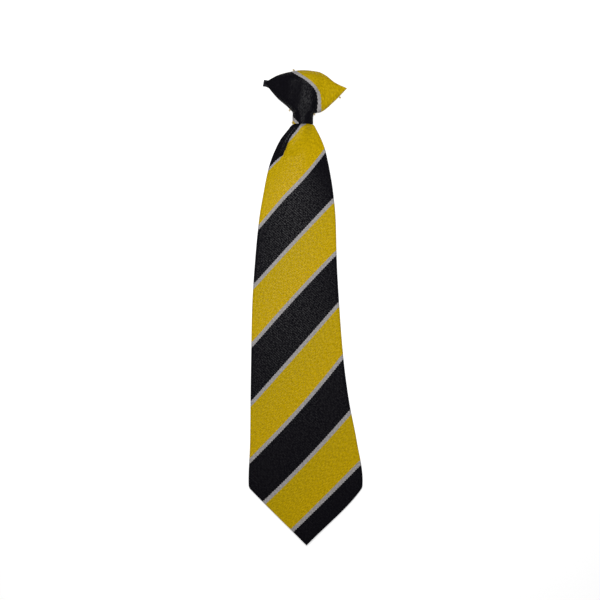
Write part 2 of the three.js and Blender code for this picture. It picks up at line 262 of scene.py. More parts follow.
# On the knot the cloth runs the other way. Line 0 comes down its middle: gold is its x at each
# height and silver half its width. Line -1 is where the cloth turns gold again at the left of the
# mouth: other is its x, and wider makes it so many times as wide.
KNOT_LINES = chart(
    "y gold silver other wider",
    (135.0, 9.6, 1.7, -6.2, 1.7),
    (142.0, 9.7, 1.7, -12.6, 1.4),
    (146.0, 9.8, 1.5, -16.6, 1.0),
    (151.0, 9.9, 1.2, -21.6, 1.0),
    (156.5, 9.3, 1.2, -27.1, 1.0),
    (160.5, 7.4, 1.2, -31.1, 1.0),
    (163.5, 4.9, 1.5, -34.1, 1.0),
    (167.0, 1.0, 1.7, -37.6, 1.0),
    (171.5, -5.8, 2.2, -42.1, 1.0),
    (175.0, -10.5, 2.4, -45.6, 1.0),
)
KNOT_SLANT = np.radians(-43)


def narrowed(phase, thin):
    """Makes line 0 thinner, or wider where thin is over 1, and leaves the others alone."""
    off = abs(phase)
    inside = SILVER_HALF * thin
    outside = mix(SILVER_HALF, 1, (off - inside) / (1 - inside))
    changed = np.sign(phase) * np.where(off < inside, off / thin, outside)
    return np.where(off < 1, changed, phase)


def coordinates(phase, across, up, slant):
    """Pattern coordinates: the distance across the stripes and along them, in mm."""
    along = across * np.cos(slant) + up * np.sin(slant)
    return np.stack([phase * HALF_PERIOD, along], axis=-1)


def blade_pattern(across, up):
    tables = {row["line"]: [dict(x=float(x), y=y) for x, y in row.items() if x != "line"]
              for row in BLADE_LINES}
    tables[0] = PLEAT_LINE
    numbers = sorted(tables)
    lines_at = [Curve(tables[n], "x", "y", beyond=True)(across) for n in numbers]
    phase = np.full(across.shape, float(numbers[0]))
    for n, upper, lower in zip(numbers, lines_at[:-1], lines_at[1:]):
        phase = np.where(up <= upper, n + (upper - up) / (upper - lower), phase)
    phase = narrowed(phase, Curve(PLEAT_LINE, "x", "thin")(across))
    return coordinates(phase, across, up, BLADE_SLANT)


def knot_pattern(across, up):
    gold = Curve(KNOT_LINES, "y", "gold", beyond=True)(up)
    other = Curve(KNOT_LINES, "y", "other", beyond=True)(up)
    thin = Curve(KNOT_LINES, "y", "silver")(up) / (SILVER_HALF * (gold - other))
    phase = narrowed((across - gold) / (gold - other), thin)
    phase = narrowed(phase + 1, Curve(KNOT_LINES, "y", "wider")(up)) - 1
    return coordinates(phase, across, up, KNOT_SLANT)


# %% [markdown]
# ## The blade
#
# The real blade is a length of cloth round an interlining. Its two long edges are folded behind
# and caught together down the middle of the back, and its end is folded to a point. Under the knot
# it is gathered into a narrow neck, and at the left a pleat takes up some of its width: the cloth
# turns back under its own folded edge and goes on as a lower layer.
#
# It is made here section by section, from the seam behind, round the left fold, over the front
# with the pleat's layers, and back round the right fold.

# %% The blade's sizes
CLOTH = 1.0  # mm, wall of the folded cloth with its interlining
BACK_SEAM = 0.8
SEAM_RISE = 0.45  # the two folded edges roll in towards the seam by this
SEAM_ROLL = 2.4
MOUTH_Y = 135.0  # lower edge of the knot
NECK_X = -2.6
# left and right are its sides, middle and edge its thickness at the middle and at the sides,
# and lift how high its back lies over the table.
BLADE = chart(
    "y left right middle edge lift",
    (149.0, -8.2, 2.9, 2.7, 2.6, 2.6),
    (134.95, -8.2, 2.9, 2.7, 2.6, 2.6),
    (134.6, -10.0, 5.5, 5.6, 4.0, 1.3),
    (131.0, -13.2, 7.7, 6.4, 3.6, 1.3),
    (123.2, -19.2, 11.6, 6.8, 3.3, 1.3),
    (115.8, -22.9, 14.3, 6.9, 3.3, 1.3),
    (108.4, -25.9, 16.0, 6.7, 3.3, 1.3),
    (101.0, -28.1, 17.5, 6.2, 3.3, 1.3),
    (86.2, -31.1, 19.9, 5.4, 3.7, 1.3),
    (64.0, -34.8, 22.0, 4.8, 3.4, 1.3),
    (34.4, -37.7, 22.8, 4.4, 3.2, 0.7),
    (-2.6, -40.0, 24.9, 4.1, 3.1, 0.0),
    (-39.6, -40.7, 27.9, 3.9, 3.0, 0.0),
    (-69.2, -41.1, 31.8, 3.7, 3.0, 0.0),
    (-98.8, -41.4, 37.5, 3.6, 3.0, 0.0),
    (-129.0, -42.6, 42.0, 3.5, 3.0, 0.0),
    (-132.6, -42.5, 41.9, 3.5, 3.0, 0.0),
    (-134.8, -41.8, 41.3, 3.5, 3.0, 0.0),
)
TIP_X, TIP_Y, TIP_Z = 0.4, -177.0, 1.5
TIP_BOW = dict(left=0.4, right=3.2)  # how far the point's two edges bow out
TIP_WALL = 2 * CLOTH
TIP_FLAT = 40  # power by which the point keeps its thickness until close to the tip
PLEAT = chart(  # its folded edge
    "y x",
    (110.0, -15.8),
    (124.7, -10.6),
    (134.2, -4.9),
    (136.0, -4.0),
    (149.0, -4.0),
)
PLEAT_DEPTH = 4.5  # cloth tucked under its edge at the knot
PLEAT_TURN = CLOTH * 0.62  # radius of its two turns
PLEAT_CLOSED = 0.5  # share of its length over which it folds flat
PLEAT_RISES = 12  # its edge stands off the cloth below after a 12th of its length
PLEAT_HIDES = 9  # and after a 9th of it, it hides as much cloth as this:
TUCKED = 4.4
PLEAT_SETTLES = 0.25  # at its end its step fades over this share of the way to the right
PLEAT_FADE = 25.0  # below its end the points spread out again over this length
TURN_LENGTH = 1.2  # least length of cloth in one turn, so its points never bunch
LEAST_DEPTH, LEAST_ANGLE = 0.4, 1e-4
UNDER_FALL = 0.06  # slope of the layer under the pleat, towards its left edge
UNDER_CREASE = 0.15  # mm, height of its creases
UNDER_WAVES = 11.0  # radians of them, from its folded edge to its left edge
UNDER_TOP, UNDER_FADE = MOUTH_Y + 1, 5.0  # they begin here, and grow over this length
UNDER_GROWS = 2  # and have grown by half the pleat's length above its end
UNDER_EDGE = 4  # power by which they go on until close to the left edge
GATHER = 0.28  # height of the soft gathers under the knot
GATHER_WAVES = chart("waves shift share", (7.5, 0.9, 0.6), (13.0, -0.6, 0.4))
GATHER_END, GATHER_LENGTH = 96.0, 32.0  # they grow over this length above their lower end
GATHER_MOUTH = 2.5  # and go again over this, just below the mouth
GATHER_SIDES = 6  # power by which they keep their height until close to the folds
FOLD_SLACK = 0.2  # they start this far left of the pleat's folded edge
SHOULDER = dict(fall=1.8, start=0.15, over=0.8)  # the gathered cloth falls away at its right
FLAP_CROWD = 1.7  # power by which the points behind lie closer together at the seam

# %% Sections from the neck to the point
FLAP, TURN, UNDER, TUCK, UPPER, TIP = 14, 10, 14, 4, 42, 26


def blade_section(y):
    """The middle of the cloth round one section, as rows of x, z and the place across it."""
    left, right, back, edge, crown = read(BLADE, "y", y, "left right lift edge middle")
    left, right, back = left + CLOTH / 2, right - CLOTH / 2, back + CLOTH / 2
    edge, crown = edge - CLOTH, crown - edge
    round_ = min(edge / 2, (right - left) / 4)
    centre, half = (left + right) / 2, (right - left) / 2
    start, end = left + round_, right - round_

    def top(x):
        off = np.clip(abs(x - centre) / half, 0, 1)
        return back + edge + crown * (1 - off**2)

    share = np.clip((y - PLEAT[0]["y"]) / (MOUTH_Y - PLEAT[0]["y"]), 0, 1)
    fold = Curve(PLEAT, "y", "x", beyond=True)(y)
    angle = max(np.pi * ease(share / PLEAT_CLOSED), LEAST_ANGLE)
    depth = PLEAT_DEPTH * (share - PLEAT_CLOSED / 2) / (1 - PLEAT_CLOSED / 2)
    depth = max(depth, LEAST_DEPTH)
    turn = max(PLEAT_TURN, TURN_LENGTH / angle)
    across = 2 * turn * np.sin(angle) + depth * np.cos(angle)
    rise = 2 * turn * (1 - np.cos(angle)) + depth * np.sin(angle)
    rise *= ease(share * PLEAT_RISES)
    low = fold - across

    under = np.linspace(start, low, UNDER, endpoint=False)
    a = np.linspace(0, angle, TURN)
    first_x, first_z = low + turn * np.sin(a), turn * (1 - np.cos(a))
    last_x, last_z = fold - turn * np.sin(a[::-1]), rise - turn * (1 - np.cos(a[::-1]))
    between = np.linspace(0, 1, TUCK + 2)[1:-1]
    tuck_x, tuck_z = mix(first_x[-1], last_x[0], between), mix(first_z[-1], last_z[0], between)
    upper = np.linspace(fold, end, UPPER + 1)[1:]
    settled = fold + max(across, 0) + depth + CLOTH
    reach = (end - settled) * mix(PLEAT_SETTLES, 1, share)
    upper_z = rise * (1 - ease((upper - settled) / reach))

    x = np.concatenate([under, first_x, tuck_x, last_x, upper])
    over = np.concatenate([np.zeros(UNDER), first_z, tuck_z, last_z, upper_z])
    # Along the cloth: what is folded away counts, so the lower layer lies further to the left.
    hidden = max(2 * turn * angle + depth - across, TUCKED * ease(share * PLEAT_HIDES))
    turned = np.linspace(low - hidden, fold, 2 * TURN + TUCK)
    run = np.concatenate([under - hidden, turned, upper])
    spread = ease((PLEAT[0]["y"] - y) / PLEAT_FADE)
    even = np.linspace(start, end, len(x))
    if share <= 0:
        x = run = mix(x, even, spread)
        over = over * 0
    z = top(x) + over + gathers(x, y, centre, half) * (x > fold - FOLD_SLACK)
    # The layer under the pleat is pulled flatter than the rest, with a crease or two.
    below = np.arange(len(x)) < UNDER
    inward = np.clip((fold - x) / (fold - start), 0, 1)
    pulled = top(fold) - UNDER_FALL * (fold - x) + UNDER_CREASE * np.sin(UNDER_WAVES * inward)
    flatter = below * (inward > 0) * (1 - inward**UNDER_EDGE) * ease(share * UNDER_GROWS)
    z = mix(z, pulled, flatter * ease((UNDER_TOP - y) / UNDER_FADE))

    s = np.linspace(0, np.pi, TURN + 1)[:-1]
    flap = np.linspace(0, 1, FLAP, endpoint=False) ** FLAP_CROWD

    def behind(way, fold_x, fold_z, fold_run):
        """From the seam behind to the front, round the fold at the left, or right if way is 1."""
        flap_x = mix(centre + way * BACK_SEAM / 2, fold_x, flap)
        flap_z = back + SEAM_RISE * (1 - ease(way * (flap_x - centre) / SEAM_ROLL))
        turned_z = back + (fold_z - back) / 2 * (1 - np.cos(s))
        turned = fold_run + way * (np.pi - s) * round_
        # The pattern goes on behind from the right fold, but turns back at the left one.
        return np.stack([np.concatenate([flap_x, fold_x + way * round_ * np.sin(s)]),
                         np.concatenate([flap_z, turned_z]),
                         np.concatenate([turned[0] + abs(flap_x - fold_x), turned])], axis=1)

    return np.concatenate([behind(-1, start, z[0], run[0]), np.stack([x, z, run], axis=1),
                           behind(1, end, z[-1], run[-1])[::-1]])


def gathers(x, y, centre, half):
    """Soft folds that run down from the knot and fade out."""
    place = (x - centre) / half
    folds = sum(np.sin(place * w["waves"] + w["shift"]) * w["share"] for w in GATHER_WAVES)
    shoulder = 1 - ease((place - SHOULDER["start"]) / SHOULDER["over"])
    fade = ease((y - GATHER_END) / GATHER_LENGTH) * ease((MOUTH_Y - y) / GATHER_MOUTH)
    sides = np.clip(1 - abs(place) ** GATHER_SIDES, 0, 1)
    return (GATHER * folds + SHOULDER["fall"] * shoulder) * fade * sides


def point_rows(rows, tip_y):
    """Draws the last section in to the tip, flat until close to it. rows are (x, y, z)."""
    start = rows[-1]
    t = np.sin(np.pi / 2 * np.arange(1, TIP + 1) / TIP)[:, None]
    side = np.where(start[:, 0] < TIP_X, TIP_BOW["left"], TIP_BOW["right"])
    bow = 1 + side * 4 * t * (1 - t) / abs(start[0, 1] - tip_y)
    drawn = np.stack([
        TIP_X + (start[:, 0] - TIP_X) * (1 - t) * bow,
        start[:, 1] + (tip_y - start[:, 1]) * t,
        TIP_Z + (start[:, 2] - TIP_Z) * np.sqrt(1 - t**TIP_FLAT),
    ], axis=2)
    return np.concatenate([rows, drawn]), (1 - t) * bow


heights = np.concatenate([
    [149, 145, 141, 137.5],  # inside the knot
    np.arange(136.2, 133.6, -0.3),  # through its mouth
    np.arange(133.5, 100, -0.6),  # the gathers and the pleat
    np.arange(99.5, 60, -1.5),
    np.linspace(60, -132.6, 74),
    [-133.4, -134.1, -134.8],  # round the two corners where the point begins
])
sections = np.stack([blade_section(y) for y in heights])
up = np.repeat(heights[:, None], sections.shape[1], axis=1)
outer, inner = (np.stack([skin[:, :, 0], up, skin[:, :, 1]], axis=2)
                for skin in skins(sections[:, :, :2], CLOTH))
outer, narrowing = point_rows(outer, TIP_Y)
inner, _ = point_rows(inner, TIP_Y + TIP_WALL)
run = np.concatenate([sections[:, :, 2], sections[-1:, :, 2] * narrowing])
blade = cloth_mesh("blade_cloth", outer, inner, blade_pattern(run, outer[:, :, 1]), slit=True)

# %% [markdown]
# ## The knot
#
# The knot is sewn up as a pouch: a flattened tube with its mouth round the neck of the blade, and
# its closed end drawn out into two wings. The cloth domes over the stuffing in the middle, and one
# soft fold drapes down its front from the top right to the mouth.

# %% The knot's sizes
OVER_ELASTIC = 1.3
KNOT_SIDES = chart(
    "up left_x left_y right_x right_y",
    (0.0, -9.9, 135.0, 5.3, 135.0),
    (0.12, -10.1, 139.5, 5.3, 139.5),
    (0.22, -9.9, 143.2, 5.9, 142.6),
    (0.3, -11.6, 145.6, 10.4, 143.6),
    (0.65, -21.4, 154.4, 21.0, 151.9),
    (1.0, -30.8, 165.8, 30.4, 161.6),
)
KNOT_TOP = chart(
    "across x y",
    (0.0, -30.8, 165.8),
    (0.17, -20.0, 171.6),
    (0.33, -11.1, 173.9),
    (0.45, -3.0, 175.0),
    (0.63, 8.9, 173.8),
    (0.73, 14.8, 171.0),
    (0.84, 21.5, 165.8),
    (1.0, 30.4, 161.6),
)
KNOT_HEIGHT = 32.0
KNOT_BACK = 1.7  # from its folds down to its back
WING_FRONT = 1.1  # at the wings' tips, and they rise from there to the stuffed middle
WING_TILT = 0.17
WING_START = 12.0
WING_REACH = 29.0
DOME_FRONT = 6.9
DOME_X = -1.5
DOME_REACH = 14.5
DOME_REACH_RIGHT = 12.0
DOME_FLAT = 4.0  # 2 would be a plain bell, and more makes its top flatter
SIDE_ROUND = 5.0  # the front comes down to the sides over this
MOUTH_ROUND = 7.5  # and over half its width at the mouth, so it is rounder there
MOUTH_REACH = 0.35  # share of the height over which it goes from one to the other
TOP_ROUND = 4.5
DRAPE = chart(
    "y left right soft high",
    (135.0, -11.0, 5.6, 0.9, 0.3),
    (141.0, -10.6, 5.5, 0.9, 0.8),
    (146.0, -9.2, 5.5, 0.9, 1.2),
    (151.0, -7.4, 6.0, 1.0, 1.4),
    (158.0, -6.0, 8.0, 2.5, 1.3),
    (164.0, -5.0, 9.0, 4.5, 1.0),
    (170.0, -4.4, 9.0, 6.0, 0.5),
)
DRAPE_LEFT_SOFT = 9.0
MOUTH_DIP = 0.4  # the front comes down to the mouth by this
DOME_RISE, DOME_RISE_OVER = 1.7, 25.0  # and rises from it by this, over this length
REAR_SEAM = dict(x=-0.5, wide=0.7, deep=0.5)  # the pouch is closed up the middle of its back
VALLEY = dict(y=148.5, high=4.0, out=1.6, wide=1.3, deep=1.3)  # right of the drape's fold
LIP = dict(left=-5.0, right=16.0, fade=3, below=0.95, wide=0.32, deep=0.55)  # the top's seam
KNOT_ROWS = 84
KNOT_COLUMNS = 120  # over the front, and as many behind, so that the top edge closes

# %% The two skins of the knot
def knot_plan(across, up):
    left_x, left_y, right_x, right_y = read(KNOT_SIDES, "up", up, "left_x left_y right_x right_y")
    top_x, top_y = read(KNOT_TOP, "across", across, "x y")
    first, last = KNOT_TOP[0], KNOT_TOP[-1]
    x = mix(left_x, right_x, across) + (top_x - mix(first["x"], last["x"], across)) * up**2
    y = mix(left_y, right_y, across) + (top_y - mix(first["y"], last["y"], across)) * up**2
    return x, y, np.hypot(right_x - left_x, right_y - left_y)


def round_off(distance, radius):
    t = np.clip(distance / radius, 0, 1)
    return np.sqrt(t * (2 - t))


def knot_front(x, y):
    off = abs(x - DOME_X)
    reach = np.where(x < DOME_X, DOME_REACH, DOME_REACH_RIGHT)
    wing = WING_FRONT + WING_TILT * (WING_REACH - np.clip(off, WING_START, WING_REACH))
    dome = wing + (DOME_FRONT - wing) * np.exp(-(off / reach) ** DOME_FLAT)
    dome = dome - MOUTH_DIP + DOME_RISE * ease((y - MOUTH_Y) / DOME_RISE_OVER)
    left, right, soft, high = read(DRAPE, "y", y, "left right soft high")
    from_left = ease((x - left) / DRAPE_LEFT_SOFT + 0.5)
    from_right = ease((right - x) / soft + 0.5)
    valley = np.exp(-((x - right - VALLEY["out"]) / VALLEY["wide"]) ** 2
                    - ((y - VALLEY["y"]) / VALLEY["high"]) ** 2)
    return dome + high * from_left * from_right - VALLEY["deep"] * valley


def knot_skin(inset):
    """Rows from the mouth to the top edge. A row goes from the middle of the back round the left
    fold, over the front, and round the right fold to the middle of the back again."""
    half = KNOT_COLUMNS // 2
    front = 0.5 - 0.5 * np.cos(np.pi * np.linspace(0, 1, KNOT_COLUMNS + 1))
    around = np.concatenate([front[half:0:-1], front, front[-2:half:-1]])[None, :]
    is_front = np.concatenate([
        np.zeros(half), np.ones(KNOT_COLUMNS + 1), np.zeros(half - 1)])[None, :] > 0
    rise = np.sin(np.pi / 2 * np.arange(KNOT_ROWS + 1) / KNOT_ROWS)[:, None]
    up = rise * (1 - inset / KNOT_HEIGHT)
    margin = inset / knot_plan(0.5, up)[2]
    x, y, width = knot_plan(margin + around * (1 - 2 * margin), up)
    beside = np.minimum(around, 1 - around) * width
    below = (1 - rise) * KNOT_HEIGHT
    side_round = mix(MOUTH_ROUND, SIDE_ROUND, ease(up / MOUTH_REACH)) - inset
    round_ = round_off(beside, side_round) * round_off(below, TOP_ROUND - inset)
    groove = REAR_SEAM["deep"] * np.exp(-((x - REAR_SEAM["x"]) / REAR_SEAM["wide"]) ** 2)
    rear = inset - KNOT_BACK + groove * (inset == 0)
    height = np.where(is_front, knot_front(x, y) - inset, rear)
    seam = np.exp(-((below - LIP["below"]) / LIP["wide"]) ** 2)
    seam = seam * ease((x - LIP["left"]) / LIP["fade"])
    seam = seam * ease((LIP["right"] - x) / LIP["fade"]) * is_front
    z = OVER_ELASTIC + KNOT_BACK + height * round_ - LIP["deep"] * seam * (inset == 0)
    # The pattern goes on round a fold, so a place behind counts as the one it unfolds to.
    flat = np.stack([x, y], axis=2)
    left, right = flat[:, half:half + 1], flat[:, half + KNOT_COLUMNS:][:, :1]
    along_left = unit(np.gradient(left, axis=0))
    for edge, way, side in ((left, along_left, around < 0.5), (right, [0, 1], around >= 0.5)):
        off = flat - edge
        unfolded = edge + 2 * (off * way).sum(axis=2, keepdims=True) * way - off
        flat = np.where((side & ~is_front)[:, :, None], unfolded, flat)
    return np.stack([x, y, z], axis=2), flat


outer, flat = knot_skin(0)
inner, _ = knot_skin(CLOTH)
flat = np.concatenate([flat, 2 * flat[:, -1:] - flat[:, -2:-1]], axis=1)
pattern = knot_pattern(flat[:, :, 0], np.maximum(flat[:, :, 1], MOUTH_Y))
knot = cloth_mesh("knot_cloth", outer, inner, pattern, slit=False)

# %% [markdown]
# ## The neck elastic
#
# A ready-tied tie goes on over the head on a loop of flat braided elastic, whose ends are caught
# behind the wings. Here it lies behind the neck and the blade, so nearly all of it is out of sight,
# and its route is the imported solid's: a smooth curve through a few points.

# %% A flat band along a smooth curve
ELASTIC_LENGTH = 250.0
ELASTIC_WIDTH = 5.0
ELASTIC_THICKNESS = 1.0
CORES = 6  # of rubber, side by side, with a rib over each
RIB_DEEP = 0.06
ELASTIC_BEND = 12.0  # radius of its loop
ELASTIC_PITCH = 6.0  # between its two runs under the knot
ELASTIC_LEFT = [(-31.6, 165.6), (-28.4, 165.0), (-22.0, 160.9), (-14.4, 154.8), (-8.2, 148.0)]
ELASTIC_RIGHT = [(3.4, 147.2), (9.6, 153.2), (18.4, 158.2), (24.2, 160.6)]
ELASTIC_STRAIGHT = (142.0, 132.0)  # heights between which the runs are straight
ELASTIC_SPREAD = 26.0  # length over which they part to the width of the loop
ROUTE_STEPS = 24  # to each part of the route between two points


def elastic_points(run):
    beside = ELASTIC_PITCH / 2
    part_y = ELASTIC_STRAIGHT[1] - ELASTIC_SPREAD
    loop_y = part_y - run
    points = list(ELASTIC_LEFT)
    points += [(NECK_X - beside, y) for y in ELASTIC_STRAIGHT]
    points.append((NECK_X - ELASTIC_BEND, part_y))
    for a in np.linspace(np.pi, 2 * np.pi, 9):
        points.append((NECK_X + ELASTIC_BEND * np.cos(a), loop_y + ELASTIC_BEND * np.sin(a)))
    points.append((NECK_X + ELASTIC_BEND, part_y))
    points += [(NECK_X + beside, y) for y in reversed(ELASTIC_STRAIGHT)]
    return np.array(points + ELASTIC_RIGHT, float)


def smooth_route(points):
    """A centripetal curve through the points."""
    p = np.concatenate([[2 * points[0] - points[1]], points, [2 * points[-1] - points[-2]]])
    knots = np.concatenate([[0], np.cumsum(np.linalg.norm(np.diff(p, axis=0), axis=1) ** 0.5)])
    route = []
    for i in range(1, len(p) - 2):
        last = i == len(p) - 3
        t = np.linspace(knots[i], knots[i + 1], ROUTE_STEPS, endpoint=last)[:, None]
        t0, t1, t2, t3 = knots[i - 1:i + 3]
        a1 = mix(p[i - 1], p[i], (t - t0) / (t1 - t0))
        a2 = mix(p[i], p[i + 1], (t - t1) / (t2 - t1))
        a3 = mix(p[i + 1], p[i + 2], (t - t2) / (t3 - t2))
        b1 = mix(a1, a2, (t - t0) / (t2 - t0))
        b2 = mix(a2, a3, (t - t1) / (t3 - t1))
        route.append(mix(b1, b2, (t - t1) / (t2 - t1)))
    return np.concatenate(route)


def way_along(route):
    """How far along the route each of its points lies."""
    return np.concatenate([[0], np.cumsum(np.linalg.norm(np.diff(route, axis=0), axis=1))])


TRIAL = 20.0
spare = ELASTIC_LENGTH - way_along(smooth_route(elastic_points(TRIAL)))[-1]
route = smooth_route(elastic_points(TRIAL + spare / 2))
print(f"elastic: {way_along(route)[-1]:.1f} mm along its middle")


def band_mesh(name, route, width, thick, soft, ribs):
    """A flat band on the table, ribbed above. V of its UV map runs along it."""
    side = np.linspace(-width / 2, width / 2, ribs * 4 + 1)
    dip = RIB_DEEP * (1 - np.cos(side / width * ribs * 2 * np.pi)) / 2
    edge = np.minimum(width / 2 - abs(side), soft) / soft
    body = thick / 2 - soft * (1 - np.sqrt(edge * (2 - edge)))
    high = thick / 2 + body - dip
    low = thick / 2 - body
    across = np.concatenate([side, side[-2:0:-1]])
    height = np.concatenate([high, low[-2:0:-1]])
    ahead = unit(np.gradient(route, axis=0))
    x = route[:, :1] - ahead[:, 1:] * across
    y = route[:, 1:] + ahead[:, :1] * across
    rings = np.stack([x, y, np.broadcast_to(height, x.shape)], axis=2)
    steps, columns = rings.shape[:2]
    run = way_along(route)
    faces, corners = [], []

    def face(*places):
        faces.append([i * columns + j % columns for i, j in places])
        corners.extend((across[j % columns], run[i]) for i, j in places)

    for i in range(steps - 1):
        for j in range(columns):
            face((i, j), (i, j + 1), (i + 1, j + 1), (i + 1, j))
    for i in (0, steps - 1):
        face(*((i, j) for j in range(columns)))
    return closed_mesh(name, rings, faces, corners)


elastic = band_mesh("elastic_band", route, ELASTIC_WIDTH, ELASTIC_THICKNESS, soft=0.3, ribs=CORES)

# %% [markdown]
# ## Finishes
#
# A material here is a small graph of nodes. One helper adds a node with its settings and its
# links, and one turns a given hex colour into the linear light that a renderer adds up.

# %% Helpers for materials
WAVE_UNIT = 2 * np.pi / 20  # the wave texture's own period at a scale of 1


def linear(hex_colour):
    """The linear light of an sRGB hex colour, with an alpha of 1."""
    parts = [int(hex_colour[i:i + 2], 16) / 255 for i in (1, 3, 5)]
    return [c / 12.92 if c <= 0.04045 else ((c + 0.055) / 1.055) ** 2.4 for c in parts] + [1.0]


def fill(tree, node, **links):
    """Fills a node's inputs. A link's name is the socket's, with _ for a space, or in_ and a
    number, and its value is another node's socket or a plain value."""
    for name, value in links.items():
        socket = node.inputs[int(name[3:]) if name.startswith("in_") else name.replace("_", " ")]
        if isinstance(value, bpy.types.NodeSocket):
            tree.links.new(value, socket)
        else:
            socket.default_value = value


def new_node(tree, kind, label, settings=None, **links):
    node = tree.nodes.new(kind)
    node.label = label
    for name, value in (settings or {}).items():
        setattr(node, name, value)
    fill(tree, node, **links)
    return node


def add(tree, kind, label, settings=None, output=0, **links):
    """Adds a node, and returns one of its outputs."""
    return new_node(tree, kind, label, settings, **links).outputs[output]


def math(tree, operation, label, *values):
    """The result of one sum of numbers or other nodes' sockets."""
    links = {f"in_{i}": value for i, value in enumerate(values)}
    return add(tree, "ShaderNodeMath", label, dict(operation=operation), **links)


def noise(tree, label, at, scale, detail, roughness=0.5):
    return add(tree, "ShaderNodeTexNoise", label, output="Fac", in_0=at, Scale=scale,
               Detail=detail, Roughness=roughness)


def bands(tree, label, at, period, profile):
    """Waves along V that are so many mm long."""
    return add(tree, "ShaderNodeTexWave", label,
               dict(wave_type="BANDS", bands_direction="Y", wave_profile=profile),
               output="Fac", in_0=at, Scale=UV_MM * WAVE_UNIT / period)


def ranged(tree, label, value, old, new):
    """A value that runs over the old range, made to run over the new one."""
    return add(tree, "ShaderNodeMapRange", label, in_0=value, From_Min=old[0], From_Max=old[1],
               To_Min=new[0], To_Max=new[1])


def shaded(tree, colour, light):
    """A colour so many times as light."""
    return add(tree, "ShaderNodeVectorMath", "shaded", dict(operation="SCALE"), in_0=colour,
               Scale=light)


def relief(tree, height, strength, depth):
    """The normal of a surface that a height raises by up to so many mm."""
    return add(tree, "ShaderNodeBump", "stands out", Strength=strength, Distance=depth * MM,
               Height=height)


def new_material(name):
    material = bpy.data.materials.new(name)
    material.use_nodes = True
    tree = material.node_tree
    shader = next(n for n in tree.nodes if n.type == "BSDF_PRINCIPLED")
    return material, tree, shader


# %% [markdown]
# ## The woven stripe
#
# The cloth is a machine-woven polyester twill: the yarns were dyed before weaving, so a stripe is
# in the yarn and ends in a clean line. Such cloth is matt with a soft sheen, because each yarn is
# a bundle of smooth filaments, and the sheen is flecked, because the yarns lie a little unevenly.
# The colour is worked out from U: which stripe it is, and how far it is to the nearest line.
# Each gold stripe is painted darker towards its upper edge, as painted shade across the stripe.
# The weave is fine ribs square to the stripes, with the grain of the yarns over them.

# %% Polyester twill, woven in stripes
# Of these, the duller gold is painted shade: each gold stripe is painted darker towards its upper
# edge.
STRIPED = dict(charcoal="#0d0c10", gold="#aa8c04", olive="#a08706", silver="#8a8787")
RIB_MM = 1.4  # the real ribs are 0.5 mm, coarsened so that they show at 0.74 mm a pixel
GRAIN_MM = 0.55  # the yarns' own grain, coarsened in the same way
GRAIN_STRETCH = 3.5  # the grain is longer up the tie than across it
FLECK_MM = 1.1  # size of the flecks in the sheen, which show most on charcoal
TOOTH_MM = 1.9  # the silver line's edges step from rib to rib, again coarsened
TOOTH = 0.016  # how far a step reaches, as a share of a half period

twill, tree, shader = new_material("polyester_twill_woven_in_stripes")
uv = add(tree, "ShaderNodeUVMap", "pattern", dict(uv_map="cloth"))
split = new_node(tree, "ShaderNodeSeparateXYZ", "across and along", in_0=uv).outputs
phase = math(tree, "MULTIPLY", "lines crossed", split[0], UV_MM / HALF_PERIOD)
pair = math(tree, "MULTIPLY", "pairs crossed", phase, 0.5)
in_pair = math(tree, "FRACT", "share of a pair", pair)
is_dark = math(tree, "GREATER_THAN", "is charcoal", in_pair, 0.5)
share = math(tree, "FRACT", "share of a stripe", phase)
off = math(tree, "ABSOLUTE", "distance", math(tree, "SUBTRACT", "from its middle", share, 0.5))
teeth = bands(tree, "teeth", uv, TOOTH_MM, "TRI")
plain_edge = 0.5 - SILVER_HALF
edge = ranged(tree, "edge of the silver", teeth, (0, 1),
              (plain_edge - TOOTH / 2, plain_edge + TOOTH / 2))
is_silver = math(tree, "GREATER_THAN", "is silver", off, edge)
# Each gold stripe starts from the duller gold at its upper edge: a painted shade across the stripe.
yarns = linear(STRIPED["olive"])
for label, share_of_next, colour in (("gold, duller at its upper edge", share, "gold"),
                                     ("gold or charcoal", is_dark, "charcoal"),
                                     ("with the silver line", is_silver, "silver")):
    yarns = add(tree, "ShaderNodeMix", label, dict(data_type="RGBA"), output=2,
                in_0=share_of_next, in_6=yarns, in_7=linear(STRIPED[colour]))
upright = add(tree, "ShaderNodeMapping", "turned to the tie's length", in_0=uv,
              Rotation=(0, 0, BLADE_SLANT - np.pi / 2),
              Scale=(UV_MM / GRAIN_MM, UV_MM / GRAIN_MM / GRAIN_STRETCH, 1))
grain = noise(tree, "grain of the yarns", upright, scale=1.0, detail=2.0, roughness=0.6)
light = ranged(tree, "light and dark yarns", grain, (0.3, 0.7), (0.62, 1.38))
ribs = bands(tree, "ribs", uv, RIB_MM, "SIN")
weave = math(tree, "MULTIPLY_ADD", "ribs and grain", ribs, 0.6, grain)
gloss = ranged(tree, "filaments catch the light", weave, (0.45, 1.15), (0.002, 0.038))
uneven = noise(tree, "uneven lie", uv, scale=UV_MM / FLECK_MM, detail=1.0)
fleck = ranged(tree, "fleck", uneven, (0.42, 0.58), (0.0, 2.0))
fill(tree, shader, Base_Color=shaded(tree, yarns, light), Roughness=0.35,
     Specular_IOR_Level=math(tree, "MULTIPLY", "flecked sheen", gloss, fleck),
     Normal=relief(tree, weave, strength=0.2, depth=0.15))

# %% [markdown]
# ## Braided elastic and sewing thread
#
# The elastic is rubber cores side by side, each wrapped with crimped polyester yarn by a braider,
# so every core shows small chevrons and the whole is dull. The thread is spun polyester, black for
# the seams, and undyed where cut ends of the making-up thread stick out of the knot.

# %% Braided elastic over rubber cores, and spun thread
BRAID_MM = 1.2  # from one chevron to the next; real ones are 0.8 mm
CHEVRON = 1.1  # how far a chevron's arms lean, in chevrons
LINT_MM = 0.6
TWIST_MM = 0.5  # the thread's twist, about twice the real one so that it shows
DYED = dict(elastic="#17161a", thread="#1d1c21", undyed="#a99a7c")

